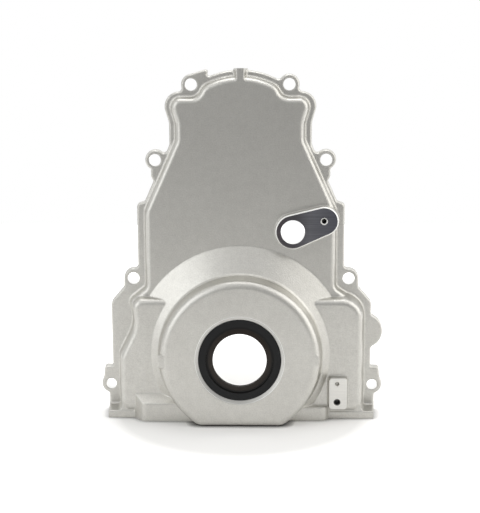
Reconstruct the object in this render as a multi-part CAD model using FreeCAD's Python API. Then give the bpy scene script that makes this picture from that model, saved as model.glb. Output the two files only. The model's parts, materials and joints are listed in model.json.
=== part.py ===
import FreeCAD, Part
import math
import os

# Timing cover of a V8 engine: an aluminium casting with its crankshaft seal.
# Millimetres. X is to the right seen from the front, Z is up, and the front looks along -Y.
# The origin is on the crankshaft axis, in the plane of the gasket face.
# A "depth" is a distance forward of the gasket face, towards -Y.
# A lobe or corner is a circle: across, up, radius. A hollow corner has a negative radius.

# Depths of the casting's levels
flange_depth = 8.0
case_depth = 20.0
side_case_depth = 29.6
ring_foot_depth = 34.3
front_depth = 53.4
rail_depth = 28.5
left_boss_depth = 38.8
right_boss_depth = 34.6
sensor_pad_depth = 27.0
bracket_pad_depth = 35.0
locator_depth = 53.0

# Walls, tapers, roundings and broken edges
wall = 4.4
draft = 9.0
flange_draft = 5.0
pad_draft = 3.5
case_round = 4.0
side_case_round = 5.0
edge_break = 1.0
foot_break = 1.2
cavity_break = 1.2

# Cone, seal boss and seal bore
cone_foot_radius = 91.4
ring_foot_radius = 68.7
ring_draft = 7.0
ring_round = 6.5
ring_corner = 12.0
ring_foot_break = 1.3
bore_radius = 34.4
bore_length = 13.0
bore_chamfer = 3.3
bore_chamfer_depth = 1.3
bore_hub_wall = 6.0

# Oil-pan face, its rail and the opening through the floor
pan_face = -57.3
rail_height = 6.4
rail_half_width = 116.3
rail_end_inset = 2.4
rail_corner = 1.5
rail_hollow = 3.6
pan_band = 9.5
opening_half_width = 96.0
opening_bulge_half_width = 27.0
opening_bulge_depth = 38.5
opening_corner = 3.0
opening_edge = 0.5

# Bolt holes of the flange: half the spacing across the cover, and height
bolt_hole_radius = 5.1
base_hole_radius = 4.6
base_bolts = (113.9, -32.5)
low_bolts = (92.7, 61.3)
middle_bolts = (72.6, 163.2)
top_bolt_rise = 63.2
top_bolts = (41.3, middle_bolts[1] + top_bolt_rise)

# Flange outline: lobes at the bolts, and a dome with a small peak
lobe_radius = 8.8
lobe_hollow = 3.0
foot_hollow = 2.0
flange_foot_corner = 3.0
side_lobe = (107.6, 14.8, 15.2)
shoulder = (105.1, 37.5, 8.0)
dome_radius = 67.9
dome_rise = 75.5
dome_height = middle_bolts[1] + dome_rise - dome_radius
peak_rise = 4.3
peak_angle = 23.9
peak_radius = 2.2
peak_hollow = 1.5

# Small corners of the flange outline, counted from the nearest bolt
ear_corners = [(3.8, 13.2, 2.5), (0.3, 17.1, -1.4)]
low_corners = [(10.5, -7.1, -1.5)]
flank_corners = [(12.6, -40.3, 4.0), (10.9, -34.0, -1.5), (3.8, -18.2, -1.5), (2.0, -13.8, 2.1)]
neck_corners = [(-7.9, 13.6, -4.0), (-1.9, 29.6, -10.0), (-20.7, 45.0, 12.4)]

# Upper case: its dome inside the flange, and its corners, the higher ones counted from the middle bolt
case_band = 5.3
case_foot_right = [(70.0, 26.0, 9.0), (90.0, 38.8, 9.0), (87.6, 58.3, -6.0)]
case_foot_left = [(-87.6, 58.3, -6.0), (-88.3, 40.5, 7.5), (-70.0, 26.0, 9.0)]
case_corners = [(-6.1, -45.5, 15.0), (-10.0, 18.5, -8.0), (-6.0, 29.4, -12.0), (-23.1, 44.3, 8.6)]
crown_corner_angle = 63.8
crown_corner_radius = 12.0
crown_hollow_angle = 25.0
crown_hollow_radius = 9.0

# Side case, from its right foot round to its left foot
side_case_outline = [
    (94.8, -42.1, 11.4),
    (86.2, 29.6, 20.0),
    (-83.4, 38.6, 11.0),
    (-121.3, 28.0, -28.0),
    (-95.1, -6.0, 10.5),
    (-94.2, -42.1, 11.4),
]

# Camshaft sensor pad
sensor_centre = (44.3, 104.1)
sensor_pad_radius = 14.7
sensor_hole_radius = 10.1
sensor_screw = (70.5, 113.1)
sensor_screw_pad_radius = 12.2
sensor_screw_radius = 2.1
sensor_screw_length = 14.0
sensor_screw_boss = 6.0
sensor_boss_wall = 3.6
sensor_boss_length = 5.0

# Bracket pad on the right side case
bracket_centre = (83.0, -33.6)
bracket_width = 15.8
bracket_height = 27.6
bracket_corner = 2.8
bracket_screw = (82.2, -40.9)
bracket_screw_radius = 2.5
bracket_screw_length = 7.5
bracket_screw_chamfer = 0.4
bracket_pin = (82.2, -24.9)
bracket_pin_radius = 1.9
bracket_pin_length = 2.5

# Threaded holes for the oil-pan bolts: place across the cover, and depth
pan_screw_radius = 3.4
pan_screw_length = 17.0
pan_boss_radius = 8.0
pan_boss_height = 22.0
left_pan_screw = (-64.0, 29.5)
right_pan_screw = (61.0, 25.0)
thread_chamfer = 0.9

# Bosses of the oil-pan screws on the front: outer end, height, slope of the top and corners
boss_inner_end = 20.0
boss_back = 14.0
boss_corner = 6.0
left_boss_reach = 101.8
left_boss_taper = 16.0
left_boss_top = -23.3
left_boss_edge = -41.2
left_boss_crest = 1.6
right_boss_reach = 86.2
right_boss_front_reach = 74.5
right_boss_taper = 18.3
right_boss_top = -38.0
right_boss_edge = -45.7
right_boss_hollow = 3.4
right_boss_crest = 1.0

# Rib over the top of the flange, and the two locating pads on the seal boss
rib_centre = 0.4
rib_half_width = 3.4
rib_rise = 1.0
rib_hollow = 3.4
rib_draft = 8.0
locator_length = 12.0
left_locator = (-62.4, -1.4)
left_locator_corner = 1.2
right_locator = (60.6, 0.2)
locator_width = 11.0

# Crankshaft seal: a steel ring in rubber, with two lips and a garter spring
seal_width = 10.0
seal_recess = 0.8
seal_coat = 1.0
seal_face_coat = 1.7
seal_back_coat = 0.4
lip_radius = 22.4
lip_edge = 0.6
lip_wall = 1.7
lip_thickness = 1.3
lip_heel = 2.0
dust_lip_width = 3.8
case_sheet = 1.2
case_inner_radius = 27.5
face_lap = 0.7
face_step = 1.6
garter_offset = 3.6
garter_wire = 0.85
garter_clearance = 0.05
garter_back = 3.4
garter_sides = 6

V = FreeCAD.Vector
FRONT = V(0, -1, 0)
UP = V(0, 0, 1)
margin = 6.0
tiny = 0.02
shortest_line = 0.01
seal_front = front_depth - seal_recess
seal_back = seal_front - seal_width
rail_top = pan_face + rail_height


def slope(angle):
    return math.tan(math.radians(angle))


# Where a pair of sizes lies: on a level of the casting, in plan, or in a side view
def at(x, depth, z):
    return V(x, -depth, z)


def level(depth):
    return lambda x, z: at(x, depth, z)


def plan(z):
    return lambda x, depth: at(x, depth, z)


def side_view(x):
    return lambda depth, z: at(x, depth, z)


# An outline is a row of circles joined by straight tangents, anticlockwise
def inset(circles, distance):
    return [(x, z, radius - distance) for x, z, radius in circles]


def counted_from(point, circles):
    return [(point[0] + x, point[1] + z, radius) for x, z, radius in circles]


def mirrored(circles):
    return [(-x, z, radius) for x, z, radius in reversed(circles)]


def tangent(first, second):
    along = V(second[0] - first[0], second[1] - first[1], 0)
    apart = along.Length
    along.normalize()
    across = V(-along.y, along.x, 0)
    lean = (second[2] - first[2]) / apart
    outward = (along * lean + across * math.sqrt(max(0.0, 1 - lean * lean))) * -1
    ends = [V(circle[0], circle[1], 0) + outward * circle[2] for circle in (first, second)]
    return ends if (ends[1] - ends[0]).Length > shortest_line else [(ends[0] + ends[1]) / 2] * 2


# For each circle: its centre, where its arc starts and ends, how far it turns, and the next start
def path(circles):
    lines = [tangent(circle, circles[(i + 1) % len(circles)]) for i, circle in enumerate(circles)]
    steps = []
    for i, (x, z, radius) in enumerate(circles):
        centre = V(x, z, 0)
        start, end, following = lines[i - 1][1], lines[i][0], lines[i][1]
        turn = (start - centre).getAngle(end - centre)
        if (start - centre).cross(end - centre).z * radius < 0:
            turn = 2 * math.pi - turn
        steps.append((centre, start, end, math.copysign(turn, radius), following))
    return steps


def outline(circles, place):
    edges = []
    for centre, start, end, turn, following in path(circles):
        spoke = start - centre
        sine, cosine = math.sin(turn / 2), math.cos(turn / 2)
        middle = centre + V(spoke.x * cosine - spoke.y * sine, spoke.x * sine + spoke.y * cosine, 0)
        edges.append(Part.Arc(*[place(point.x, point.y) for point in (start, middle, end)]).toShape())
        if (following - end).Length > 0:
            edges.append(Part.LineSegment(*[place(point.x, point.y) for point in (end, following)]).toShape())
    return Part.Wire(edges)


def prism(circles, place, direction):
    return Part.Face(outline(circles, place)).extrude(direction)


# The wall between the outline on one level and the same outline, drawn in, on the next
def band(low_circles, low_depth, high_circles, high_depth):
    faces = []
    for low, high in zip(path(low_circles), path(high_circles)):
        centre, start, end, turn, following = low
        segment = Part.LineSegment(at(start.x, low_depth, start.y), at(high[1].x, high_depth, high[1].y))
        axis = FRONT * math.copysign(1, turn)
        faces.append(segment.toShape().revolve(at(centre.x, 0, centre.y), axis, math.degrees(abs(turn))))
        if (following - end).Length > 0:
            corners = [at(point.x, low_depth, point.y) for point in (end, following)]
            corners += [at(point.x, high_depth, point.y) for point in (high[4], high[2])]
            faces.append(Part.Face(Part.makePolygon(corners + corners[:1])))
    return faces


# A block through several levels: a depth for each, and how far the outline is drawn in there
def block(circles, levels):
    rows = [(inset(circles, distance), depth) for depth, distance in levels]
    faces = [Part.Face(outline(row, level(depth))) for row, depth in (rows[0], rows[-1])]
    for low, high in zip(rows, rows[1:]):
        faces += band(*low, *high)
    shell = Part.makeShell(faces)
    shell.sewShape()
    return Part.makeSolid(shell).removeSplitter()


# A block drawn round its crest outline, which widens towards the foot and has a broken edge at the crest
def pad(crest, foot_depth, crest_depth, angle, broken):
    edge_depth = crest_depth - broken
    spread = (edge_depth - foot_depth) * slope(angle)
    return block(crest, [(foot_depth, -spread), (edge_depth, 0), (crest_depth, broken)])


def crest_rounded(shape, depth, radius):
    edges = []
    for edge in shape.Edges:
        box = edge.BoundBox
        if abs(box.YMin + depth) < tiny and abs(box.YMax + depth) < tiny:
            edges.append(edge)
    return shape.makeFillet(radius, edges)


def box_outline(x, z, width, height, corner):
    reach = width / 2 - corner
    rise = height / 2 - corner
    return [(x + sx * reach, z + sz * rise, corner) for sx, sz in ((-1, -1), (1, -1), (1, 1), (-1, 1))]


def cylinder(radius, x, z, depth_from, depth_to):
    return Part.makeCylinder(radius, depth_to - depth_from, at(x, depth_from, z), FRONT)


def cone(radius_from, radius_to, x, z, depth_from, depth_to):
    return Part.makeCone(radius_from, radius_to, depth_to - depth_from, at(x, depth_from, z), FRONT)


def turned(profile):
    corners = [at(radius, depth, 0) for radius, depth in profile]
    face = Part.Face(Part.makePolygon(corners + corners[:1]))
    return face.revolve(V(0, 0, 0), V(0, 1, 0), 360)


def above(height):
    size = 600
    return Part.makeBox(size, size, size, V(-size / 2, -size / 2, height))


# A hollow corner that touches a lobe, in the given direction from its centre
def hollow_by(lobe, angle, radius):
    turn = math.radians(angle)
    reach = lobe[2] + radius
    return (lobe[0] + reach * math.cos(turn), lobe[1] + reach * math.sin(turn), -radius)


# A hollow corner that touches two round bulges, on the left of the way from first to second
def hollow_between(first, second, radius):
    way = V(second[0] - first[0], second[1] - first[1], 0)
    apart = way.Length
    way.normalize()
    reach = first[2] + radius
    along = (reach ** 2 + apart ** 2 - (second[2] + radius) ** 2) / (2 * apart)
    across = -math.sqrt(reach ** 2 - along ** 2)
    return (first[0] + way.x * along - way.y * across, first[1] + way.y * along + way.x * across, -radius)


# A smaller circle that touches a dome from inside, in the given direction
def corner_in(arch, angle, radius):
    turn = math.radians(angle)
    reach = arch[2] - radius
    return (arch[0] + reach * math.cos(turn), arch[1] + reach * math.sin(turn), radius)


def flange_outline():
    base_lobe = (*base_bolts, lobe_radius)
    low_lobe = (*low_bolts, lobe_radius)
    middle_lobe = (*middle_bolts, lobe_radius)
    top_lobe = (*top_bolts, lobe_radius)
    dome = (0, dome_height, dome_radius)
    peak_reach = dome_radius + peak_rise
    peak_turn = math.radians(peak_angle)
    peak_height = dome_height + peak_reach * math.cos(peak_turn)
    peak = (-peak_reach * math.sin(peak_turn), peak_height, peak_radius)
    base = [
        (rail_half_width - flange_foot_corner, pan_face - margin, flange_foot_corner),
        hollow_by(base_lobe, -66, foot_hollow),
        base_lobe,
        hollow_by(base_lobe, 31, lobe_hollow),
        *counted_from(base_bolts, ear_corners),
    ]
    bulge = [hollow_by(side_lobe, -62.9, lobe_hollow), side_lobe, hollow_by(side_lobe, 62.9, lobe_hollow)]
    side = [
        shoulder,
        *counted_from(low_bolts, low_corners),
        low_lobe,
        hollow_by(low_lobe, 92.4, lobe_hollow),
        *counted_from(middle_bolts, flank_corners),
        hollow_by(middle_lobe, -56.9, peak_hollow),
        middle_lobe,
        hollow_by(middle_lobe, 127.8, lobe_hollow),
        *counted_from(middle_bolts, neck_corners),
        hollow_by(top_lobe, -13.7, lobe_hollow),
        top_lobe,
    ]
    crown = [hollow_between(top_lobe, dome, lobe_hollow), dome, hollow_between(dome, peak, peak_hollow), peak]
    return base + bulge + side + crown + mirrored(base + side)


def case_outline():
    arch = (0, dome_height, dome_radius - case_band)
    corner = corner_in(arch, crown_corner_angle, crown_corner_radius)
    rising = counted_from(middle_bolts, case_corners)
    rising += [hollow_by(corner, crown_hollow_angle, crown_hollow_radius), corner]
    return case_foot_right + rising + [arch] + mirrored(rising) + case_foot_left


# A case stands on the flange: broken foot, drafted wall and rounded crest
def case_block(circles, depth, rounding):
    levels = [
        (flange_depth, -foot_break),
        (flange_depth + foot_break, foot_break * slope(draft)),
        (depth, (depth - flange_depth) * slope(draft)),
    ]
    return crest_rounded(block(circles, levels), depth, rounding)


def cavity_block(circles, depth):
    mouth = wall - (flange_depth + margin) * slope(draft)
    end = depth - wall
    edge = end - cavity_break
    edge_inset = mouth + (edge + margin) * slope(draft)
    return block(circles, [(-margin, mouth), (edge, edge_inset), (end, edge_inset + cavity_break)])


def make_flange():
    edge = flange_depth - edge_break
    drawn_in = edge * slope(flange_draft)
    return block(flange_outline(), [(0, 0), (edge, drawn_in), (flange_depth, drawn_in + edge_break)])


# The seal boss is round, and cut flat by the oil-pan face, with rounded corners there
def make_ring():
    taper = (front_depth - ring_foot_depth) * slope(ring_draft)
    radius = ring_foot_radius - taper
    corner_z = pan_face + ring_corner + ring_round * slope(ring_draft)
    corner_x = math.sqrt((radius - ring_corner) ** 2 - corner_z ** 2)
    crest = [(-corner_x, corner_z, ring_corner), (corner_x, corner_z, ring_corner), (0, 0, radius)]
    ring = block(crest, [(ring_foot_depth, -taper), (front_depth, 0)])
    return crest_rounded(ring, front_depth, ring_round)


# The cone that carries the seal boss, with a broken corner at the boss's foot
def make_hub():
    back = case_depth - cavity_break
    fall = (ring_foot_depth - case_depth) / (cone_foot_radius - ring_foot_radius)
    end = ring_foot_depth + ring_foot_break
    return turned([
        (0, back),
        (cone_foot_radius, back),
        (cone_foot_radius, case_depth),
        (ring_foot_radius + ring_foot_break, ring_foot_depth - ring_foot_break * fall),
        (ring_foot_radius - ring_foot_break * slope(ring_draft), end),
        (0, end),
    ]).common(above(pan_face))


# The rail along the oil-pan face: its front outline meets a plan outline with tapered ends
def make_rail():
    reach = rail_half_width - rail_corner
    across = 2 * rail_half_width + 2 * margin
    low = pan_face - margin
    front = box_outline(0, (rail_top + low) / 2, across, rail_top - low, edge_break + rail_corner)
    levels = [
        (0, -foot_break),
        (flange_depth, -foot_break),
        (flange_depth + foot_break, 0),
        (rail_depth - edge_break / 2, 0),
        (rail_depth, edge_break / 2),
    ]
    ends = [
        (-reach, rail_corner, rail_corner),
        (reach, rail_corner, rail_corner),
        (reach - rail_end_inset, rail_depth, rail_corner),
        (rail_end_inset - reach, rail_depth, rail_corner),
    ]
    return block(front, levels).common(prism(ends, plan(pan_face), UP * rail_height * 2))


# The hollow corner between the rail's top and the side case's wall, which leans with the wall's draft
def make_rail_corner(side, foot):
    case_wall = foot[0] * side + foot[2] - tiny
    top = rail_top - tiny
    hidden = rail_corner
    circles = [
        (case_wall - 3 * hidden, top - hidden, hidden),
        (case_wall + rail_hollow, top - hidden, hidden),
        (case_wall + rail_hollow, top + rail_hollow, -rail_hollow),
        (case_wall - hidden, top + rail_hollow + hidden, hidden),
        (case_wall - 3 * hidden, top + rail_hollow + hidden, hidden),
    ]
    length = rail_depth - edge_break / 2 - flange_depth
    lean = V(-side * length * slope(draft), -length, 0)
    return prism(circles if side > 0 else mirrored(circles), level(flange_depth), lean)


# A boss over an oil-pan screw: its plan outline meets the outline seen from the side
def make_left_boss():
    front = left_boss_depth
    end = left_boss_reach - boss_corner
    plan_outline = [
        (-end, boss_back, boss_corner),
        (-boss_inner_end, boss_back, boss_corner),
        (-boss_inner_end, front - boss_corner, boss_corner),
        (left_boss_taper - end, front - boss_corner, boss_corner),
    ]
    crest = left_boss_crest
    side_outline = [
        (boss_back, pan_face - margin, crest),
        (front - crest, pan_face - margin, crest),
        (front - crest, left_boss_edge - crest, crest),
        (boss_back, left_boss_top - 2 * crest, crest),
    ]
    column = prism(plan_outline, plan(pan_face), UP * (left_boss_top - pan_face))
    return column.common(prism(side_outline, side_view(-left_boss_reach), V(left_boss_reach, 0, 0)))


def make_right_boss():
    front = right_boss_depth
    end = right_boss_reach - boss_corner
    plan_outline = [
        (boss_inner_end, boss_back, boss_corner),
        (end, front - boss_corner - right_boss_taper, boss_corner),
        (right_boss_front_reach - boss_corner, front - boss_corner, boss_corner),
        (boss_inner_end, front - boss_corner, boss_corner),
    ]
    crest = right_boss_crest
    side_outline = [
        (boss_back, pan_face - margin, crest),
        (front - crest, pan_face - margin, crest),
        (front - crest, right_boss_edge - crest, crest),
        (side_case_depth + right_boss_hollow, right_boss_edge + right_boss_hollow, -right_boss_hollow),
        (boss_back, right_boss_top, crest),
    ]
    column = prism(plan_outline, plan(pan_face), UP * (right_boss_top + margin - pan_face))
    return column.common(prism(side_outline, side_view(0), V(right_boss_reach, 0, 0)))


# The rib stands on the flange and runs out into the upper case's front with two hollow corners
def make_rib():
    flange_top = dome_height + dome_radius
    front_edge = case_depth - edge_break / 2
    crest_z = flange_top - case_band - (case_depth - flange_depth) * slope(draft) - case_round
    corner = rib_half_width / 2
    across = rib_half_width + rib_hollow
    right = [
        (across, crest_z - case_round, corner),
        (across, crest_z + edge_break - corner, corner),
        (across, crest_z + edge_break + rib_hollow, -rib_hollow),
        (rib_half_width - corner, flange_top + margin, corner),
    ]
    crest = [(rib_centre + x, z, radius) for x, z, radius in right + mirrored(right)]
    stem = block(crest, [(0, -front_edge * slope(rib_draft)), (front_edge, 0), (case_depth, edge_break / 2)])
    foot_end = flange_depth + foot_break
    foot_inset = (foot_end - front_edge) * slope(rib_draft)
    widest = foot_inset - foot_break
    foot = block(crest, [(0, widest), (flange_depth, widest), (foot_end, foot_inset)])
    return stem.cut(above(flange_top + rib_rise)).fuse(foot.cut(above(flange_top)))


def make_locators():
    back = ring_foot_depth + ring_foot_break
    rounded = locator_width / 2 - tiny
    left = box_outline(*left_locator, locator_length, locator_width, left_locator_corner)
    right = box_outline(*right_locator, locator_length, locator_width, rounded)
    return [pad(circles, back, locator_depth, 0, edge_break / 2) for circles in (left, right)]


def make_sensor_pad():
    crest = [(*sensor_centre, sensor_pad_radius), (*sensor_screw, sensor_screw_pad_radius)]
    return pad(crest, flange_depth, sensor_pad_depth, pad_draft, edge_break)


def make_bracket_pad():
    crest = box_outline(*bracket_centre, bracket_width, bracket_height, bracket_corner)
    return pad(crest, case_depth, bracket_pad_depth, draft, edge_break / 2)


# The round pocket behind the cone and the seal boss
def make_pocket():
    fall = (ring_foot_depth - case_depth) / (cone_foot_radius - ring_foot_radius)
    back_of_cone = case_depth - wall * math.hypot(1, fall)
    radius = ring_foot_radius - wall
    end = front_depth - wall
    mouth = cone_foot_radius - 2 * wall
    end_radius = radius - (end - ring_foot_depth) * slope(ring_draft)
    return turned([
        (0, -margin),
        (mouth, -margin),
        (mouth, back_of_cone + (cone_foot_radius - mouth) * fall),
        (radius, back_of_cone + (cone_foot_radius - radius) * fall),
        (end_radius, end - wall),
        (end_radius - wall, end),
        (0, end),
    ])


def make_cavity():
    upper = cavity_block(case_outline(), case_depth)
    lower = cavity_block(side_case_outline, side_case_depth)
    screw_boss_back = sensor_pad_depth - sensor_screw_length - thread_chamfer - cavity_break
    sensor_boss_back = case_depth - wall - sensor_boss_length
    bosses = [
        cylinder(bore_radius + bore_hub_wall, 0, 0, front_depth - bore_length, front_depth),
        cylinder(sensor_screw_boss, *sensor_screw, screw_boss_back, case_depth),
        cylinder(sensor_hole_radius + sensor_boss_wall, *sensor_centre, sensor_boss_back, case_depth),
    ]
    for x, depth in (left_pan_screw, right_pan_screw):
        bosses.append(Part.makeCylinder(pan_boss_radius, pan_boss_height, at(x, depth, pan_face), UP))
    return upper.fuse([lower, make_pocket()]).common(above(pan_face + pan_band)).cut(bosses)


# The opening through the floor, over the oil pan, which leaves the screw bosses whole
def make_pan_opening():
    corner = opening_corner
    reach = opening_half_width - corner
    bulge = opening_bulge_half_width
    right_depth = right_pan_screw[1] - pan_boss_radius - opening_edge
    left_depth = left_pan_screw[1] - pan_boss_radius - opening_edge
    circles = [
        (-reach, -margin, corner),
        (reach, -margin, corner),
        (reach, right_depth - corner, corner),
        (bulge + corner, right_depth + corner, -corner),
        (bulge - corner, opening_bulge_depth - corner, corner),
        (corner - bulge, opening_bulge_depth - corner, corner),
        (-bulge - corner, left_depth + corner, -corner),
        (-reach, left_depth - corner, corner),
    ]
    return prism(circles, plan(pan_face - margin), UP * (margin + pan_band + wall))


def screw_hole(radius, length, chamfer, x, z, face_depth):
    hole = cylinder(radius, x, z, face_depth - length, face_depth)
    return hole.fuse(cone(radius, radius + chamfer, x, z, face_depth - chamfer, face_depth))


def pan_screw_hole(x, depth):
    place = at(x, depth, pan_face)
    mouth = Part.makeCone(pan_screw_radius + thread_chamfer, pan_screw_radius, thread_chamfer, place, UP)
    return Part.makeCylinder(pan_screw_radius, pan_screw_length, place, UP).fuse(mouth)


def make_holes():
    holes = []
    for bolts, radius in (
        (top_bolts, bolt_hole_radius),
        (middle_bolts, bolt_hole_radius),
        (low_bolts, bolt_hole_radius),
        (base_bolts, base_hole_radius),
    ):
        for side in (-1, 1):
            holes.append(cylinder(radius, side * bolts[0], bolts[1], -margin, flange_depth + margin))
    pin_bottom = bracket_pad_depth - bracket_pin_length
    chamfer_back = front_depth - bore_chamfer_depth
    holes += [
        cylinder(sensor_hole_radius, *sensor_centre, 0, sensor_pad_depth + margin),
        screw_hole(sensor_screw_radius, sensor_screw_length, thread_chamfer, *sensor_screw, sensor_pad_depth),
        screw_hole(
            bracket_screw_radius,
            bracket_screw_length,
            bracket_screw_chamfer,
            *bracket_screw,
            bracket_pad_depth,
        ),
        cone(bracket_pin_radius / 2, bracket_pin_radius, *bracket_pin, pin_bottom, bracket_pad_depth),
        cylinder(bore_radius, 0, 0, front_depth - bore_length - margin, front_depth + margin),
        cone(bore_radius, bore_radius + bore_chamfer, 0, 0, chamfer_back, front_depth),
        pan_screw_hole(*left_pan_screw),
        pan_screw_hole(*right_pan_screw),
    ]
    return holes


def make_cover():
    added = [
        case_block(case_outline(), case_depth, case_round),
        case_block(side_case_outline, side_case_depth, side_case_round),
        make_hub(),
        make_ring(),
        make_rail(),
        make_rail_corner(1, side_case_outline[0]),
        make_rail_corner(-1, side_case_outline[-1]),
        make_left_boss(),
        make_right_boss(),
        make_rib(),
        make_sensor_pad(),
        make_bracket_pad(),
        *make_locators(),
    ]
    body = make_flange().fuse(added).common(above(pan_face)).removeSplitter()
    return body.cut([make_cavity(), make_pan_opening(), *make_holes()]).removeSplitter()


def make_seal_case():
    outer = bore_radius - seal_coat
    back = seal_back + seal_back_coat
    web = seal_front - seal_face_coat
    return turned([
        (outer - case_sheet, back),
        (outer, back),
        (outer, web),
        (case_inner_radius, web),
        (case_inner_radius, web - case_sheet),
        (outer - case_sheet, web - case_sheet),
    ])


# A ring of round wire, drawn with a few flats round its section
def ring_of_wire(radius, wire_radius, depth):
    reach = wire_radius / math.cos(math.pi / garter_sides)
    turns = [(2 * i + 1) * math.pi / garter_sides for i in range(garter_sides)]
    return turned([(radius + reach * math.cos(turn), depth + reach * math.sin(turn)) for turn in turns])


def make_seal_rubber(steel_case):
    inner_face = case_inner_radius + face_lap
    step_depth = seal_front - face_step
    web = seal_front - seal_face_coat - case_sheet / 2
    sleeve = bore_radius - seal_coat - case_sheet / 2
    garter_depth = seal_back + garter_back
    dust_root = lip_radius + dust_lip_width
    neck = lip_radius + lip_wall + lip_edge
    head = lip_radius + garter_offset + garter_wire / 2
    body = turned([
        (bore_radius, seal_back),
        (bore_radius, seal_front),
        (inner_face, seal_front),
        (inner_face, step_depth),
        (dust_root, step_depth),
        (lip_radius, seal_front - lip_edge),
        (lip_radius, seal_front - 2 * lip_edge),
        (lip_radius + lip_wall + lip_thickness, step_depth - lip_edge),
        (neck, seal_front - dust_lip_width),
        (lip_radius + lip_edge, garter_depth + lip_edge / 2),
        (neck, garter_depth - lip_heel),
        (head, garter_depth - lip_heel),
        (head, garter_depth + lip_thickness),
        (case_inner_radius + lip_edge, step_depth - face_step),
        (case_inner_radius + lip_edge, web),
        (sleeve, web),
        (sleeve, seal_back),
    ])
    groove = ring_of_wire(lip_radius + garter_offset, garter_wire + garter_clearance, garter_depth)
    return body.cut([steel_case, groove])


def make_garter():
    return ring_of_wire(lip_radius + garter_offset - garter_clearance, garter_wire, seal_back + garter_back)


os.makedirs("parts", exist_ok=True)
seal_case = make_seal_case()
for name, shape in (
    ("cover_casting", make_cover()),
    ("crank_seal_case", seal_case),
    ("crank_seal_rubber", make_seal_rubber(seal_case)),
    ("garter_spring", make_garter()),
):
    print(name, shape.isValid(), len(shape.Solids), len(shape.Faces), round(shape.Volume))
    shape.exportStep("parts/" + name + ".step")
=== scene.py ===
import json
import math

import bpy
from mathutils import Matrix, Vector


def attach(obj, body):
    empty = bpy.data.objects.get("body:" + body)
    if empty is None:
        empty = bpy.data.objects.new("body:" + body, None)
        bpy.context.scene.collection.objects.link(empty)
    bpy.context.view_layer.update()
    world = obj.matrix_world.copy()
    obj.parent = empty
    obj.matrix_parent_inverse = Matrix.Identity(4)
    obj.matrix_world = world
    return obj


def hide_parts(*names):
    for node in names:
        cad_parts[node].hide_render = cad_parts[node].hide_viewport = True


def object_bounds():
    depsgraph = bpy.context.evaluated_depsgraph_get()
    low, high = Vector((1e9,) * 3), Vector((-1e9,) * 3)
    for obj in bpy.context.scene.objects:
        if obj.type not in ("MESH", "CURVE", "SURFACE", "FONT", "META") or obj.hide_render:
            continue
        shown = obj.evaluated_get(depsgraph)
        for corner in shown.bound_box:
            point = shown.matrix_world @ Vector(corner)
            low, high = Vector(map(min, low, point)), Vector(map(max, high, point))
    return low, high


# Timing cover: a cast aluminium cover with machined pads and a rubber crankshaft seal.
# Metres. The front looks along -Y, and the origin is on the crankshaft's axis at the gasket face.
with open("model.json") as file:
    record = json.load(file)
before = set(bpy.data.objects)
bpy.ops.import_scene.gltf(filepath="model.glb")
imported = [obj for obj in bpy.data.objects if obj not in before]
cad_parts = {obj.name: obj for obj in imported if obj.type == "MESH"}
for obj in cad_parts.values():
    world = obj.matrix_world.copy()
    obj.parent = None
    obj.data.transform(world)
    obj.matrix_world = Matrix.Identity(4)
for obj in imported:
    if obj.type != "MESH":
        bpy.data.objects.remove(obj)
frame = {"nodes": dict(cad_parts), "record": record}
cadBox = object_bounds()
mounts = {mount["name"]: mount for mount in frame["record"]["mounts"]}
millimetre = 0.001
print("frame loaded:", sorted(frame["nodes"]))


# Small helpers for nodes
def addNode(tree, kind, inputs=None, **settings):
    node = tree.nodes.new(kind)
    for name, value in settings.items():
        setattr(node, name, value)
    for name, value in (inputs or {}).items():
        if isinstance(value, bpy.types.NodeSocket):
            tree.links.new(value, node.inputs[name])
        else:
            node.inputs[name].default_value = value
    return node


def newMaterial(name, viewColour):
    material = bpy.data.materials.new(name)
    material.use_nodes = True
    material.diffuse_color = (*viewColour, 1)
    material.node_tree.nodes.clear()
    return material, material.node_tree


def mathNode(tree, operation, first, second=0.5):
    return addNode(tree, "ShaderNodeMath", {0: first, 1: second}, operation=operation).outputs[0]


def rampNode(tree, value, stops):
    ramp = addNode(tree, "ShaderNodeValToRGB", {"Fac": value})
    elements = ramp.color_ramp.elements
    elements[0].position, elements[0].color = stops[0][0], (*stops[0][1], 1)
    elements[1].position, elements[1].color = stops[-1][0], (*stops[-1][1], 1)
    for position, colour in stops[1:-1]:
        elements.new(position).color = (*colour, 1)
    return ramp.outputs["Color"]


def timesNode(tree, first, second):
    node = addNode(tree, "ShaderNodeVectorMath", {0: first, 1: second}, operation="MULTIPLY")
    return node.outputs["Vector"]


def scaleNode(tree, vector, factor):
    node = addNode(tree, "ShaderNodeVectorMath", {0: vector, "Scale": factor}, operation="SCALE")
    return node.outputs["Vector"]


def lengthNode(tree, vector):
    return addNode(tree, "ShaderNodeVectorMath", {0: vector}, operation="LENGTH").outputs["Value"]


# Distance from the Y axis
def fromAxisOf(tree, place):
    return lengthNode(tree, timesNode(tree, place, (1, 0, 1)))


def newGroup(name, inputs, outputs):
    group = bpy.data.node_groups.new(name, "ShaderNodeTree")
    for socketName, value in inputs.items():
        kind = "NodeSocketColor" if isinstance(value, tuple) else "NodeSocketFloat"
        socket = group.interface.new_socket(socketName, in_out="INPUT", socket_type=kind)
        socket.default_value = value
    for socketName, kind in outputs.items():
        group.interface.new_socket(socketName, in_out="OUTPUT", socket_type=kind)
    start = group.nodes.new("NodeGroupInput")
    end = group.nodes.new("NodeGroupOutput")
    return group, start.outputs, end.inputs


# The skin of a casting: fine grain and small patches over a soft mottle
grainNoise = {
    "grain": {"Scale": 900.0, "Detail": 2.0, "Roughness": 0.6},
    "patch": {"Scale": 230.0, "Detail": 2.0, "Roughness": 0.5},
    "mottle": {"Scale": 22.0, "Detail": 4.0, "Roughness": 0.65},
    "roughDark": 0.42,
    "roughLight": 0.34,
}


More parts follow.
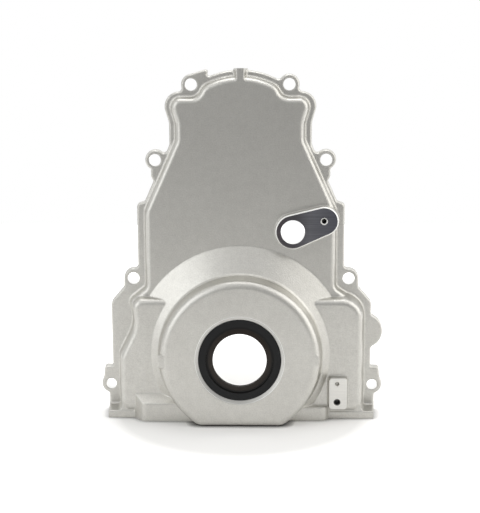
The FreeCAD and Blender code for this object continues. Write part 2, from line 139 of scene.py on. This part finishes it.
noiseMiddle = 0.5


# Noise about zero, as strong as it is asked to be
def noisePart(tree, place, noise, strength):
    node = addNode(tree, "ShaderNodeTexNoise", {"Vector": place, **noise})
    centred = mathNode(tree, "SUBTRACT", node.outputs["Fac"], noiseMiddle)
    return mathNode(tree, "MULTIPLY", centred, strength)


def blendTone(tree, given, tone):
    tones = {"Factor": tone, "A": given["Dark"], "B": given["Light"]}
    return addNode(tree, "ShaderNodeMix", tones, data_type="RGBA").outputs["Result"]


def makeCastGrain():
    group, given, made = newGroup(
        "castGrain",
        {
            "Dark": (0.3, 0.3, 0.3, 1),
            "Light": (0.5, 0.5, 0.5, 1),
            "Grain": 1.0,
            "Patch": 0.5,
            "Mottle": 1.0,
        },
        {"Colour": "NodeSocketColor", "Roughness": "NodeSocketFloat", "Height": "NodeSocketFloat"},
    )
    place = addNode(group, "ShaderNodeTexCoord").outputs["Object"]
    grainPart = noisePart(group, place, grainNoise["grain"], given["Grain"])
    patchPart = noisePart(group, place, grainNoise["patch"], given["Patch"])
    mottlePart = noisePart(group, place, grainNoise["mottle"], given["Mottle"])
    spots = mathNode(group, "ADD", grainPart, patchPart)
    tone = mathNode(group, "ADD", mathNode(group, "ADD", spots, mottlePart), noiseMiddle)
    group.links.new(blendTone(group, given, tone), made["Colour"])
    rough = addNode(group, "ShaderNodeMapRange", {
        "Value": tone,
        "To Min": grainNoise["roughDark"],
        "To Max": grainNoise["roughLight"],
    })
    group.links.new(rough.outputs["Result"], made["Roughness"])
    group.links.new(spots, made["Height"])
    return group


# Fine straight tool marks, lying along X
millingNoise = {
    "stretch": (30.0, 1500.0, 1500.0),
    "streak": {"Scale": 1.0, "Detail": 3.0},
    "soft": {"Scale": 60.0, "Detail": 2.0},
    "softStrength": 0.6,
}


def makeMilling():
    group, given, made = newGroup(
        "milling",
        {"Dark": (0.3, 0.3, 0.3, 1), "Light": (0.5, 0.5, 0.5, 1), "Marks": 1.0},
        {"Colour": "NodeSocketColor", "Height": "NodeSocketFloat"},
    )
    place = addNode(group, "ShaderNodeTexCoord").outputs["Object"]
    stretched = addNode(group, "ShaderNodeMapping", {"Vector": place, "Scale": millingNoise["stretch"]})
    streakPart = noisePart(group, stretched.outputs["Vector"], millingNoise["streak"], given["Marks"])
    softPart = noisePart(group, place, millingNoise["soft"], millingNoise["softStrength"])
    tone = mathNode(group, "ADD", mathNode(group, "ADD", streakPart, softPart), noiseMiddle)
    group.links.new(blendTone(group, given, tone), made["Colour"])
    group.links.new(streakPart, made["Height"])
    return group


castGrain = makeCastGrain()
milling = makeMilling()


def groupNode(tree, group, inputs):
    node = tree.nodes.new("ShaderNodeGroup")
    node.node_tree = group
    for name, value in inputs.items():
        node.inputs[name].default_value = value
    return node


bevelSamples = 6


def finishSurface(tree, shaderInputs, height, bumpDepth, edgeRadius=0.0):
    shader = addNode(tree, "ShaderNodeBsdfPrincipled", shaderInputs)
    bump = addNode(tree, "ShaderNodeBump", {"Height": height, "Strength": 1.0, "Distance": bumpDepth})
    if edgeRadius > 0:
        softened = addNode(tree, "ShaderNodeBevel", {"Radius": edgeRadius}, samples=bevelSamples)
        tree.links.new(softened.outputs["Normal"], bump.inputs["Normal"])
    tree.links.new(bump.outputs["Normal"], shader.inputs["Normal"])
    output = tree.nodes.new("ShaderNodeOutputMaterial")
    tree.links.new(shader.outputs["BSDF"], output.inputs["Surface"])
    return shader


castFinish = {
    "viewColour": (0.5, 0.5, 0.48),
    "dark": (0.54, 0.53, 0.50),
    "light": (0.73, 0.72, 0.68),
    "plateTone": 0.935,
    "grain": 1.1,
    "patch": 0.45,
    "mottle": 0.5,
    "bump": 0.00014,
    "edgeRadius": 0.0018,
}


def makeCastMaterial(name, tone):
    material, tree = newMaterial(name, castFinish["viewColour"])
    skin = groupNode(tree, castGrain, {
        "Dark": (*(part * tone for part in castFinish["dark"]), 1),
        "Light": (*(part * tone for part in castFinish["light"]), 1),
        "Grain": castFinish["grain"],
        "Patch": castFinish["patch"],
        "Mottle": castFinish["mottle"],
    })
    finishSurface(
        tree,
        {"Base Color": skin.outputs["Colour"], "Roughness": skin.outputs["Roughness"], "Metallic": 1.0},
        skin.outputs["Height"],
        castFinish["bump"],
        castFinish["edgeRadius"],
    )
    return material


# Machined faces: tones, roughness and depth of the tool marks, and how strong the marks show
toolMarks = 1.2
machinedFinishes = {
    "millFace": {
        "dark": (0.55, 0.55, 0.54, 1),
        "light": (0.72, 0.72, 0.70, 1),
        "rough": 0.34,
        "bump": 0.00002,
    },
    "brightPad": {
        "dark": (0.80, 0.79, 0.76, 1),
        "light": (0.92, 0.91, 0.87, 1),
        "rough": 0.5,
        "bump": 0.00003,
    },
    "darkPad": {
        "dark": (0.115, 0.114, 0.119, 1),
        "light": (0.200, 0.196, 0.206, 1),
        "rough": 0.3,
        "bump": 0.00001,
    },
    "drilled": {
        "dark": (0.84, 0.84, 0.82, 1),
        "light": (0.95, 0.95, 0.93, 1),
        "rough": 0.28,
        "bump": 0.00001,
    },
    "turned": {
        "dark": (0.55, 0.545, 0.52, 1),
        "light": (0.69, 0.685, 0.66, 1),
        "rough": 0.42,
        "bump": 0.00001,
    },
    # Painted shade: the walls, bottoms and threads of the tapped holes are coloured dark, for the shade
    # inside them
    "tappedHoleShade": {
        "dark": (0.16, 0.16, 0.155, 1),
        "light": (0.30, 0.30, 0.29, 1),
        "rough": 0.38,
        "bump": 0.00001,
    },
    # Painted highlight: the rounded rim of the sensor pad is coloured near white, so that it shows as a
    # bright line
    "padRimHighlight": {
        "dark": (0.86, 0.86, 0.84, 1),
        "light": (0.97, 0.97, 0.95, 1),
        "rough": 0.6,
        "bump": 0.00001,
    },
}


# The sensor pad is coloured darkest and browner round the sensor's hole, with a lighter bluish band between
# the two holes that is a painted reflection
padTintAndReflection = {
    "from": mounts["cam_sensor_hole"]["pos_m"][0] - 0.0147,
    "to": mounts["cam_sensor_screw"]["pos_m"][0] + 0.0122,
    "tones": [
        (0.0, (0.80, 0.72, 0.74)),
        (0.30, (0.72, 0.70, 0.72)),
        (0.55, (1.25, 1.28, 1.34)),
        (1.0, (0.86, 0.90, 1.0)),
    ],
    "peak": 1.4,
}

# The cutter has left fine arcs on the bracket pad
padArcs = {"centre": (0.0822, 0, -0.085), "spacing": 0.0011, "strength": 0.035}


# A ramp's colours end at one, so the tones are divided by their peak and scaled up again
def paintPadTintAndReflection(tree, colour):
    place = addNode(tree, "ShaderNodeTexCoord").outputs["Object"]
    across = addNode(tree, "ShaderNodeMapRange", {
        "Value": addNode(tree, "ShaderNodeSeparateXYZ", {"Vector": place}).outputs["X"],
        "From Min": padTintAndReflection["from"],
        "From Max": padTintAndReflection["to"],
    }).outputs["Result"]
    peak = padTintAndReflection["peak"]
    tones = [(position, tuple(part / peak for part in tone)) for position, tone in padTintAndReflection["tones"]]
    tone = rampNode(tree, across, tones)
    return timesNode(tree, colour, scaleNode(tree, tone, peak))


def arcPad(tree, colour):
    place = addNode(tree, "ShaderNodeTexCoord").outputs["Object"]
    centred = addNode(tree, "ShaderNodeVectorMath", {0: place, 1: padArcs["centre"]}, operation="SUBTRACT")
    reach = fromAxisOf(tree, centred.outputs["Vector"])
    wave = mathNode(tree, "SINE", mathNode(tree, "MULTIPLY", reach, 2 * math.pi / padArcs["spacing"]))
    strength = padArcs["strength"]
    tone = addNode(tree, "ShaderNodeMath", {0: wave, 1: strength, 2: 1 - strength}, operation="MULTIPLY_ADD")
    return scaleNode(tree, colour, tone.outputs[0])


def makeMachinedMaterial(name):
    finish = machinedFinishes[name]
    material, tree = newMaterial(name, finish["light"][:3])
    marks = groupNode(tree, milling, {"Dark": finish["dark"], "Light": finish["light"], "Marks": toolMarks})
    colour = marks.outputs["Colour"]
    # Painted reflection: a lighter band across the sensor pad between its holes
    if name == "darkPad":
        colour = paintPadTintAndReflection(tree, colour)
    if name == "brightPad":
        colour = arcPad(tree, colour)
    finishSurface(
        tree,
        {"Base Color": colour, "Roughness": finish["rough"], "Metallic": 1.0},
        marks.outputs["Height"],
        finish["bump"],
    )
    return material


rubberFinish = {
    "viewColour": (0.02, 0.02, 0.02),
    "face": (0.0065, 0.0070, 0.0076),
    "lip": (0.0200, 0.0150, 0.0115),
    # Painted shade: the groove between lip and face is coloured darker
    "grooveShade": (0.0020, 0.0018, 0.0016),
    "insideRadius": 0.022,
    "outsideRadius": 0.032,
    "bumpDepth": 0.00002,
    "bands": [(0.42, "lip"), (0.48, "grooveShade"), (0.62, "grooveShade"), (0.70, "face")],
    "faceRough": 0.40,
    "lipRough": 0.27,
    "mottle": 0.35,
    "spots": 0.8,
    "shine": 0.26,
}


# Black on the outer face, a little browner and glossier on the lip, with painted shade in a darker band where
# the groove lies between them
def makeRubberMaterial():
    material, tree = newMaterial("sealRubber", rubberFinish["viewColour"])
    place = addNode(tree, "ShaderNodeTexCoord").outputs["Object"]
    outward = addNode(tree, "ShaderNodeMapRange", {
        "Value": fromAxisOf(tree, place),
        "From Min": rubberFinish["insideRadius"],
        "From Max": rubberFinish["outsideRadius"],
    }).outputs["Result"]
    bands = [(position, rubberFinish[band]) for position, band in rubberFinish["bands"]]
    cover = rampNode(tree, outward, bands)
    skin = groupNode(tree, castGrain, {
        "Dark": (1 - rubberFinish["mottle"],) * 3 + (1,),
        "Light": (1 + rubberFinish["mottle"],) * 3 + (1,),
        "Grain": rubberFinish["spots"],
        "Mottle": rubberFinish["spots"],
    })
    colour = addNode(tree, "ShaderNodeMix", {
        "Factor": 1.0,
        "A": cover,
        "B": skin.outputs["Colour"],
    }, data_type="RGBA", blend_type="MULTIPLY")
    rough = addNode(tree, "ShaderNodeMapRange", {
        "Value": outward,
        "To Min": rubberFinish["lipRough"],
        "To Max": rubberFinish["faceRough"],
    })
    finishSurface(
        tree,
        {
            "Base Color": colour.outputs["Result"],
            "Roughness": rough.outputs["Result"],
            "Specular IOR Level": rubberFinish["shine"],
        },
        skin.outputs["Height"],
        rubberFinish["bumpDepth"],
    )
    return material


steelFinish = {
    "viewColour": (0.5, 0.5, 0.5),
    "dark": (0.4, 0.4, 0.41, 1),
    "light": (0.58, 0.58, 0.58, 1),
    "marks": 1.0,
    "rough": 0.3,
    "bump": 0.00001,
}


def makeSteelMaterial():
    material, tree = newMaterial("sealSteel", steelFinish["viewColour"])
    marks = groupNode(tree, milling, {
        "Dark": steelFinish["dark"],
        "Light": steelFinish["light"],
        "Marks": steelFinish["marks"],
    })
    finishSurface(
        tree,
        {"Base Color": marks.outputs["Colour"], "Roughness": steelFinish["rough"], "Metallic": 1.0},
        marks.outputs["Height"],
        steelFinish["bump"],
    )
    return material


castMaterial = makeCastMaterial("castAluminium", 1.0)
plateMaterial = makeCastMaterial("castPlate", castFinish["plateTone"])
rubberMaterial = makeRubberMaterial()
steelMaterial = makeSteelMaterial()
print("materials made")


# Smooth shading on a CAD node: broken edges look round, flat faces stay flat, real edges stay sharp
castSharpAngle = 52
sealSharpAngle = 28
normalWeight = 60


def smoothNode(node, sharpAngle):
    node.data.shade_smooth()
    node.data.set_sharp_from_angle(angle=math.radians(sharpAngle))
    evened = node.modifiers.new("evenNormals", "WEIGHTED_NORMAL")
    evened.mode = "FACE_AREA"
    evened.weight = normalWeight
    evened.keep_sharp = True


# Tapped holes, with the pitch and the height of their threads
threads = {
    "cam_sensor_screw": {"pitch": 0.0008, "ridge": 0.00028},
    "bracket_screw": {"pitch": 0.0010, "ridge": 0.00034},
    "pan_screw_left": {"pitch": 0.00125, "ridge": 0.00042},
    "pan_screw_right": {"pitch": 0.00125, "ridge": 0.00042},
}


# The casting: as cast all over, with its machined faces in finishes of their own
casting = {
    "panHeight": mounts["pan_face"]["pos_m"][2],
    "plateDepth": 0.020,
    "sensorPadDepth": 0.027,
    "sensorRimFrom": 0.0258,
    "sensorPadReach": 0.031,
    "bracketPadDepth": 0.035,
    "boreChamferFrom": 0.0343,
    "boreChamferTo": 0.0378,
    "flatFace": 0.999,
    "sideways": 0.1,
    "leaning": 0.2,
    "steepest": 0.98,
    "faceTolerance": 0.00005,
    "holePlay": 0.0002,
    "screwPlay": 0.0003,
    "screwEndPlay": 0.0012,
}


def mountPlace(name):
    return Vector(mounts[name]["pos_m"])


def drilledHoles():
    holes = []
    for mount in mounts.values():
        place, size = Vector(mount["pos_m"]), mount["dims"]
        if mount["kind"] == "bolt_pattern":
            half = size["spacing_x_mm"] * millimetre / 2
            for side in (-1, 1):
                holes.append((place + Vector((side * half, 0, 0)), size["hole_r_mm"] * millimetre))
        elif mount["name"] == "cam_sensor_hole":
            holes.append((place, size["r_mm"] * millimetre))
    return holes


def insideHole(centre, normal, hole):
    place, radius = hole
    reach = math.hypot(centre.x - place.x, centre.z - place.z)
    return abs(normal.y) < casting["sideways"] and reach < radius + casting["holePlay"]


def onPadRim(centre, normal, depth):
    middle = (mountPlace("cam_sensor_hole") + mountPlace("cam_sensor_screw")) / 2
    near = math.hypot(centre.x - middle.x, centre.z - middle.z) < casting["sensorPadReach"]
    inRim = casting["sensorRimFrom"] < depth < casting["sensorPadDepth"]
    return near and inRim and normal.y < -casting["leaning"]


# A tapped hole, its bottom included
def insideScrew(centre, mount):
    offset, axis = centre - Vector(mount["pos_m"]), Vector(mount["axis"])
    along = offset.dot(axis)
    radius, length = mount["dims"]["r_mm"] * millimetre, mount["dims"]["length_mm"] * millimetre
    within = abs(along) < length / 2 + casting["screwEndPlay"]
    return within and (offset - along * axis).length < radius + casting["screwPlay"]


def faceFinish(centre, normal, holes):
    depth = -centre.y
    tolerance, flat = casting["faceTolerance"], casting["flatFace"]
    if normal.y > flat and depth < tolerance:
        return "millFace"
    if normal.z < -flat and abs(centre.z - casting["panHeight"]) < tolerance:
        return "millFace"
    if normal.y < -flat and abs(depth - casting["plateDepth"]) < tolerance:
        return "plate"
    if normal.y < -flat and abs(depth - casting["sensorPadDepth"]) < tolerance:
        return "darkPad"
    # Painted highlight on the rounded rim of the sensor pad
    if onPadRim(centre, normal, depth):
        return "padRimHighlight"
    if normal.y < -flat and abs(depth - casting["bracketPadDepth"]) < tolerance:
        return "brightPad"
    fromAxis = math.hypot(centre.x, centre.z)
    inChamfer = casting["boreChamferFrom"] < fromAxis < casting["boreChamferTo"]
    if inChamfer and -casting["steepest"] < normal.y < -casting["leaning"]:
        return "turned"
    # Painted shade inside the tapped holes
    if any(insideScrew(centre, mounts[name]) for name in threads):
        return "tappedHoleShade"
    if any(insideHole(centre, normal, hole) for hole in holes):
        return "drilled"
    return None


def dressCasting():
    node = frame["nodes"]["cover_casting"]
    smoothNode(node, castSharpAngle)
    mesh = node.data
    mesh.materials.clear()
    mesh.materials.append(castMaterial)
    mesh.materials.append(plateMaterial)
    slots = {None: 0, "plate": 1}
    for name in machinedFinishes:
        mesh.materials.append(makeMachinedMaterial(name))
        slots[name] = len(mesh.materials) - 1
    holes = drilledHoles()
    for polygon in mesh.polygons:
        polygon.material_index = slots[faceFinish(polygon.center, polygon.normal, holes)]


dressCasting()
for nodeName, material, slotName in (
    ("crank_seal_rubber", rubberMaterial, "seal_rubber"),
    ("crank_seal_case", steelMaterial, "seal_steel"),
):
    sealNode = frame["nodes"][nodeName]
    smoothNode(sealNode, sealSharpAngle)
    sealNode.data.materials.clear()
    sealNode.data.materials.append(material)
print("nodes dressed")


# New pieces ride on the one body
def addPiece(name, points, faces, material):
    mesh = bpy.data.meshes.new(name)
    mesh.from_pydata(points, [], faces)
    mesh.materials.append(material)
    mesh.shade_smooth()
    piece = bpy.data.objects.new(name, mesh)
    bpy.context.scene.collection.objects.link(piece)
    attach(piece, "root")
    return piece


# The cast-in fillet along the foot of each side case, where it meets the top of the oil-pan rail.
# Each side has its two ends, and the profile has depths and heights in millimetres.
railFillet = {
    "left": (-0.0979, -0.0905),
    "right": (0.0740, 0.0977),
    "profile": [
        (28.15, -51.35),
        (28.0, -51.0),
        (27.93, -50.6),
        (27.91, -50.2),
        (27.93, -49.8),
        (28.0, -49.3),
        (25.4, -49.3),
        (25.4, -51.35),
    ],
    "sharpAngle": 30,
}


def makeRailFillet(side):
    profile = railFillet["profile"]
    points = [(x, -depth * millimetre, z * millimetre) for x in railFillet[side] for depth, z in profile]
    count = len(profile)
    faces = [tuple(range(count)), tuple(reversed(range(count, 2 * count)))]
    for edge in range(count):
        following = (edge + 1) % count
        faces.append((edge, following, following + count, edge + count))
    piece = addPiece("rail_fillet_" + side, points, faces, castMaterial)
    piece.data.set_sharp_from_angle(angle=math.radians(railFillet["sharpAngle"]))


for side in ("left", "right"):
    makeRailFillet(side)
print("rail fillets laid")


# Threads: a ridge with sloping sides that winds up each tapped hole. Its foot and its crest have
# these half widths, as shares of the pitch.
ridgeShape = {"foot": 0.46, "crest": 0.08, "stepsPerTurn": 28}


def makeThread(mountName, material):
    mount, thread = mounts[mountName], threads[mountName]
    radius = mount["dims"]["r_mm"] * millimetre
    length = mount["dims"]["length_mm"] * millimetre
    axis = Vector(mount["axis"])
    across = Vector((1, 0, 0))
    beside = axis.cross(across)
    middle, pitch = mountPlace(mountName), thread["pitch"]
    stepsPerTurn, inner = ridgeShape["stepsPerTurn"], radius - thread["ridge"]
    foot, crest = ridgeShape["foot"], ridgeShape["crest"]
    section = ((radius, -foot), (inner, -crest), (inner, crest), (radius, foot))
    turns = (length - pitch) / pitch
    count = int(turns * stepsPerTurn) + 1
    points, faces = [], []
    for step in range(count):
        turn = 2 * math.pi * step / stepsPerTurn
        spoke = across * math.cos(turn) + beside * math.sin(turn)
        along = pitch * step / stepsPerTurn - length / 2 + pitch / 2
        for reach, shift in section:
            points.append(middle + spoke * reach + axis * (along + shift * pitch))
    for step in range(count - 1):
        for row in range(len(section) - 1):
            low, high = len(section) * step + row, len(section) * (step + 1) + row
            faces.append((low, low + 1, high + 1, high))
    return addPiece(mountName + "_thread", points, faces, material)


# The threads take the dark colour of the painted shade inside the tapped holes
shadedThreadMaterial = makeMachinedMaterial("tappedHoleShade")
for mountName in threads:
    makeThread(mountName, shadedThreadMaterial)
print("threads cut")


# The fine rolled edge that the turning tool leaves round the mouth of the bore
boreEdge = {"radius": 0.03722, "depth": 0.05314, "wire": 0.00025, "steps": 144, "sides": 8}


def makeBoreEdge():
    points, faces = [], []
    steps, sides = boreEdge["steps"], boreEdge["sides"]
    for step in range(steps):
        around = 2 * math.pi * step / steps
        outward = Vector((math.cos(around), 0, math.sin(around)))
        for side in range(sides):
            turn = 2 * math.pi * side / sides
            reach = boreEdge["radius"] + boreEdge["wire"] * math.cos(turn)
            depth = boreEdge["depth"] + boreEdge["wire"] * math.sin(turn)
            points.append(outward * reach + Vector((0, -depth, 0)))
    for step in range(steps):
        low, high = step * sides, (step + 1) % steps * sides
        for side in range(sides):
            beside = (side + 1) % sides
            faces.append((low + side, high + side, high + beside, low + beside))
    addPiece("bore_edge", points, faces, makeMachinedMaterial("drilled"))


makeBoreEdge()
print("bore edge rolled")


# Garter spring: a closed coil of fine wire in the place of the plain ring
garter = {
    "radius": 0.02595,
    "depth": 0.0460,
    "coilRadius": 0.00068,
    "wireRadius": 0.00017,
    "turns": 300,
    "stepsPerTurn": 10,
    "sides": 5,
}


def makeGarter():
    points, faces = [], []
    count, sides = garter["turns"] * garter["stepsPerTurn"], garter["sides"]
    for step in range(count):
        around = 2 * math.pi * step / count
        coil = 2 * math.pi * step / garter["stepsPerTurn"]
        outward = Vector((math.cos(around), 0, math.sin(around)))
        onward = Vector((-math.sin(around), 0, math.cos(around)))
        lifted = outward * math.cos(coil) + Vector((0, 1, 0)) * math.sin(coil)
        middle = outward * garter["radius"] + Vector((0, -garter["depth"], 0))
        centre = middle + lifted * garter["coilRadius"]
        for side in range(sides):
            turn = 2 * math.pi * side / sides
            points.append(centre + (lifted * math.cos(turn) + onward * math.sin(turn)) * garter["wireRadius"])
    for step in range(count):
        following = (step + 1) % count
        for side in range(sides):
            beside = (side + 1) % sides
            low, high = step * sides, following * sides
            faces.append((low + side, low + beside, high + beside, high + side))
    piece = addPiece("garter_coil", points, faces, steelMaterial)
    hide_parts("garter_spring")


makeGarter()
print("garter spring wound")


# Camera: its angles are in degrees
camera = {
    "place": (0.0273, -0.9395, 0.2350),
    "yaw": -1.717,
    "pitch": 9.426,
    "roll": -0.24,
    "focalPixels": 1100.0,
    "imageHeight": 513,
    "sensor": 36.0,
    "clipStart": 0.05,
}


def makeCamera():
    yaw, pitch, roll = (math.radians(camera[name]) for name in ("yaw", "pitch", "roll"))
    forward = Vector((math.sin(yaw) * math.cos(pitch), math.cos(yaw) * math.cos(pitch), -math.sin(pitch)))
    level = Vector((math.cos(yaw), -math.sin(yaw), 0))
    raised = level.cross(forward)
    right = math.cos(roll) * level + math.sin(roll) * raised
    up = math.cos(roll) * raised - math.sin(roll) * level
    data = bpy.data.cameras.new("camera")
    data.sensor_width = camera["sensor"]
    data.lens = camera["focalPixels"] * camera["sensor"] / camera["imageHeight"]
    data.clip_start = camera["clipStart"]
    holder = bpy.data.objects.new("camera", data)
    turn = Matrix((right, up, -forward)).transposed().to_4x4()
    holder.matrix_world = Matrix.Translation(camera["place"]) @ turn
    bpy.context.scene.collection.objects.link(holder)
    bpy.context.scene.camera = holder


makeCamera()


# Floor: a sheet of pale paper that glows more with the distance from the cover. The camera sees the
# glow all over, mirrored rays see it behind the cover, and from below the sheet is clear.
floorLook = {
    "colour": (0.88, 0.875, 0.865, 1),
    "glowStretch": (1.12, 1, 1),
    "glowFrom": 0.12,
    "glowTo": 0.5,
    "glow": [(0.03, 0.0), (0.06, 0.20), (0.13, 0.31), (0.25, 0.41), (0.5, 0.55), (1.0, 0.9)],
    # Reach and samples of the painted shade on the paper close to the cover
    "contactShadeReach": 0.006,
    "contactShadeSamples": 8,
    "mirroredFrom": 0.05,
    "mirroredTo": 0.6,
    "halfWidth": 1.2,
    "front": -0.62,
    "back": 1.2,
}


def makeFloor():
    height = cadBox[0].z
    half, front, back = floorLook["halfWidth"], floorLook["front"], floorLook["back"]
    mesh = bpy.data.meshes.new("floor")
    corners = [(-half, front, height), (half, front, height), (half, back, height), (-half, back, height)]
    mesh.from_pydata(corners, [], [(0, 1, 2, 3)])
    floor = bpy.data.objects.new("floor", mesh)
    bpy.context.scene.collection.objects.link(floor)
    material, tree = newMaterial("floorPaper", floorLook["colour"][:3])
    # Painted shade: for camera rays the paper's colour is darkened where the cover stands close to it, by
    # ambient occlusion
    clearance = addNode(
        tree,
        "ShaderNodeAmbientOcclusion",
        {"Distance": floorLook["contactShadeReach"]},
        samples=floorLook["contactShadeSamples"],
    )
    path = addNode(tree, "ShaderNodeLightPath").outputs
    contactShade = mathNode(tree, "SUBTRACT", 1.0, clearance.outputs["AO"])
    closed = mathNode(tree, "MULTIPLY", path["Is Camera Ray"], contactShade)
    shaded = addNode(tree, "ShaderNodeMix", {
        "Factor": mathNode(tree, "SUBTRACT", 1.0, closed),
        "A": (0, 0, 0, 1),
        "B": floorLook["colour"],
    }, data_type="RGBA")
    paper = addNode(tree, "ShaderNodeBsdfDiffuse", {"Color": shaded.outputs["Result"]})
    place = addNode(tree, "ShaderNodeTexCoord").outputs["Object"]
    share = addNode(tree, "ShaderNodeMapRange", {
        "Value": lengthNode(tree, timesNode(tree, place, floorLook["glowStretch"])),
        "From Min": floorLook["glowFrom"],
        "From Max": floorLook["glowTo"],
    }).outputs["Result"]
    glowing = rampNode(tree, share, [(position, (strength,) * 3) for position, strength in floorLook["glow"]])
    behind = addNode(tree, "ShaderNodeMapRange", {
        "Value": addNode(tree, "ShaderNodeSeparateXYZ", {"Vector": place}).outputs["Y"],
        "From Min": floorLook["mirroredFrom"],
        "From Max": floorLook["mirroredTo"],
    }).outputs["Result"]
    mirrored = mathNode(tree, "MAXIMUM", path["Is Glossy Ray"], path["Is Transmission Ray"])
    seen = mathNode(tree, "MAXIMUM", path["Is Camera Ray"], mathNode(tree, "MULTIPLY", mirrored, behind))
    strength = mathNode(tree, "MULTIPLY", seen, glowing)
    glow = addNode(tree, "ShaderNodeEmission", {"Strength": strength})
    both = tree.nodes.new("ShaderNodeAddShader")
    tree.links.new(paper.outputs["BSDF"], both.inputs[0])
    tree.links.new(glow.outputs["Emission"], both.inputs[1])
    below = addNode(tree, "ShaderNodeNewGeometry").outputs["Backfacing"]
    oneSided = addNode(tree, "ShaderNodeMixShader", {"Fac": below})
    tree.links.new(both.outputs[0], oneSided.inputs[1])
    tree.links.new(addNode(tree, "ShaderNodeBsdfTransparent").outputs["BSDF"], oneSided.inputs[2])
    output = tree.nodes.new("ShaderNodeOutputMaterial")
    tree.links.new(oneSided.outputs[0], output.inputs["Surface"])
    mesh.materials.append(material)


makeFloor()
print("floor laid")


# Studio: a room that is darker in front and below than behind and above, with a soft lamp on each
# side and one above. The camera sees the room as plain white.
lamps = {
    "leftLamp": {
        "place": (-1.3, -0.95, 0.75),
        "size": 1.6,
        "power": 9.5,
        "tint": (0.99, 1.0, 1.0),
    },
    "rightLamp": {
        "place": (1.5, -0.15, 0.9),
        "size": 2.0,
        "power": 15.0,
        "tint": (1.0, 0.985, 0.95),
    },
    "topLamp": {
        "place": (0.0, 0.45, 1.7),
        "size": 1.2,
        "power": 8.0,
        "tint": (1.0, 1.0, 0.99),
    },
}
greysBackward = [(0.0, 0.40), (0.3, 0.45), (0.5, 0.54), (0.94, 0.98), (1.0, 1.2)]
greysUpward = [(0.0, 0.3), (0.5, 0.34), (0.82, 0.52), (0.93, 0.84), (1.0, 0.95)]


def makeStudio():
    aim = (cadBox[0] + cadBox[1]) / 2
    for name, lamp in lamps.items():
        data = bpy.data.lights.new(name, "AREA")
        data.shape = "SQUARE"
        data.size = lamp["size"]
        data.energy = lamp["power"]
        data.color = lamp["tint"]
        holder = bpy.data.objects.new(name, data)
        holder.location = lamp["place"]
        holder.rotation_mode = "QUATERNION"
        holder.rotation_quaternion = (aim - Vector(lamp["place"])).to_track_quat("-Z", "Y")
        bpy.context.scene.collection.objects.link(holder)
    world = bpy.data.worlds.new("studio")
    world.use_nodes = True
    bpy.context.scene.world = world
    tree = world.node_tree
    tree.nodes.clear()
    seen = addNode(tree, "ShaderNodeLightPath").outputs["Is Camera Ray"]
    way = addNode(tree, "ShaderNodeTexCoord").outputs["Generated"]
    parts = addNode(tree, "ShaderNodeSeparateXYZ", {"Vector": way}).outputs
    greys = []
    for axis, stops in (("Y", greysBackward), ("Z", greysUpward)):
        share = addNode(tree, "ShaderNodeMapRange", {"Value": parts[axis], "From Min": -1.0})
        colours = [(position, (grey,) * 3) for position, grey in stops]
        greys.append(rampNode(tree, share.outputs["Result"], colours))
    room = mathNode(tree, "MAXIMUM", *greys)
    tones = {"Factor": seen, "A": room, "B": (1, 1, 1, 1)}
    colour = addNode(tree, "ShaderNodeMix", tones, data_type="RGBA")
    sky = addNode(tree, "ShaderNodeBackground", {"Color": colour.outputs["Result"]})
    output = tree.nodes.new("ShaderNodeOutputWorld")
    tree.links.new(sky.outputs["Background"], output.inputs["Surface"])


makeStudio()
bpy.context.scene.view_settings.view_transform = "Standard"
print("studio made")
